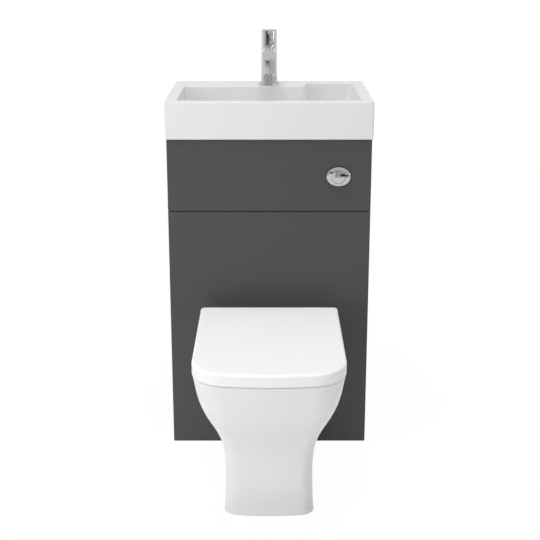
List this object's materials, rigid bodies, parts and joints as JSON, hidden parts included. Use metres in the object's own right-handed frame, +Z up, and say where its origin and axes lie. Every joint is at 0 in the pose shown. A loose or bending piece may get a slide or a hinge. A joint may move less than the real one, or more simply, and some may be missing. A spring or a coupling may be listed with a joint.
{
  "type": "combined toilet and basin cabinet unit",
  "caption": "Grey cabinet with an offset-bowl basin and mixer tap on top, a concealed cistern with flush buttons, and a back to wall pan with hinged seat and lid.",
  "frame": {"origin": "on the floor, under the centre of the whole unit's plan", "axes": "+X to the right seen from the front, +Y towards the wall, +Z up"},
  "size_m": [0.506, 0.833, 1.0454],
  "materials": {
    "grey_gloss_board": "gloss lacquer",
    "board_core": "satin foil",
    "beech": "plain",
    "white_plastic": "moulded",
    "zinc_steel": "zinc plated",
    "basin_white": "gloss",
    "pan_white": "gloss glaze",
    "chrome": "polished",
    "grey_plastic": "moulded",
    "brass_stem": "machined",
    "red_mark": "gloss",
    "blue_mark": "gloss",
    "braided_hose": "braided",
    "black_rubber": "matte",
    "clear_tube": "translucent",
    "spring_steel": "plain",
    "seat_white": "gloss",
    "white_rubber": "matte"
  },
  "bodies": {
    "unit": {"left_side_panel": "grey_gloss_board", "right_side_panel": "grey_gloss_board", "upper_fascia": "grey_gloss_board", "lower_fascia": "grey_gloss_board", "front_top_rail": "board_core", "fascia_rail": "board_core", "rear_rails": "board_core", "dowels": "beech", "corner_blocks": "white_plastic", "waste_backnut": "white_plastic", "trap_body": "white_plastic", "trap_cup": "white_plastic", "waste_pipe": "white_plastic", "cistern_lid": "white_plastic", "button_backnut": "white_plastic", "flush_pipe": "white_plastic", "wall_brackets": "zinc_steel", "bracket_screws": "zinc_steel", "floor_brackets": "zinc_steel", "pan_screws": "zinc_steel", "tap_fixing": "zinc_steel", "hinge_bolts": "zinc_steel", "basin": "basin_white", "pan": "pan_white", "waste_body": "chrome", "tap_base_ring": "chrome", "tap_body": "chrome", "aerator": "chrome", "button_bezel": "chrome", "hinge_pins": "chrome", "hinge_posts": "chrome", "cartridge": "grey_plastic", "fill_valve": "grey_plastic", "flush_tower": "grey_plastic", "cistern_tank": "grey_plastic", "isolating_valves": "brass_stem", "hot_tail": "braided_hose", "cold_tail": "braided_hose", "flush_cone": "black_rubber", "soil_connector": "black_rubber", "air_tubes": "clear_tube", "full_spring": "spring_steel", "half_spring": "spring_steel", "screw_caps": "seat_white"},
    "seat": {"seat": "seat_white", "seat_buffers": "white_rubber"},
    "lid": {"lid": "seat_white", "lid_buffers": "white_rubber"},
    "full_button": {"full_button": "chrome"},
    "half_button": {"half_button": "chrome"},
    "flush_plunger": {"flush_plunger": "black_rubber"},
    "turning_stem": {"turning_stem": "brass_stem"},
    "handle": {"tap_handle": "chrome", "tap_lever": "chrome", "hot_mark": "red_mark", "cold_mark": "blue_mark"},
    "plug": {"waste_plug": "chrome"},
    "float": {"float_arm": "grey_plastic"},
    "hot_valve_screw": {"hot_valve_screw": "brass_stem"},
    "cold_valve_screw": {"cold_valve_screw": "brass_stem"}
  },
  "joints": [
    {"name": "seat_lift", "type": "hinge", "parent": "unit", "child": "seat", "pos_m": [0, -0.0175, 0.384], "axis": [-1, 0, 0], "range_deg": [0, 95]},
    {"name": "lid_lift", "type": "hinge", "parent": "seat", "child": "lid", "pos_m": [0, -0.0175, 0.384], "axis": [1, 0, 0], "range_deg": [-95, 0]},
    {"name": "flush_lift", "type": "slide", "parent": "unit", "child": "flush_plunger", "axis": [0, 0, 1], "range_m": [0, 0.03]},
    {"name": "full_flush", "type": "slide", "parent": "unit", "child": "full_button", "axis": [0, 1, 0], "range_m": [0, 0.006], "stiffness_N_per_m": 150, "deforming": ["full_spring"]},
    {"name": "half_flush", "type": "slide", "parent": "unit", "child": "half_button", "axis": [0, 1, 0], "range_m": [0, 0.006], "stiffness_N_per_m": 120, "deforming": ["half_spring"]},
    {"name": "tap_turn", "type": "hinge", "parent": "unit", "child": "turning_stem", "pos_m": [0, 0.3535, 1.018], "axis": [0, 0, 1], "range_deg": [-45, 45]},
    {"name": "tap_tilt", "type": "hinge", "parent": "turning_stem", "child": "handle", "pos_m": [0, 0.3535, 1.018], "axis": [-1, 0, 0], "range_deg": [0, 20]},
    {"name": "plug_lift", "type": "slide", "parent": "unit", "child": "plug", "axis": [0, 0, 1], "range_m": [0, 0.008]},
    {"name": "float_swing", "type": "hinge", "parent": "unit", "child": "float", "pos_m": [-0.133, 0.3235, 0.5435], "axis": [0, -1, 0], "range_deg": [0, 20]},
    {"name": "hot_valve_turn", "type": "hinge", "parent": "unit", "child": "hot_valve_screw", "pos_m": [-0.06, 0.3425, 0.697], "axis": [0, 1, 0], "range_deg": [0, 90]},
    {"name": "cold_valve_turn", "type": "hinge", "parent": "unit", "child": "cold_valve_screw", "pos_m": [0.06, 0.3425, 0.697], "axis": [0, 1, 0], "range_deg": [0, 90]}
  ],
  "couplings": [
    {"joint": "full_flush", "follows": "flush_lift", "ratio": 0.2}
  ]
}
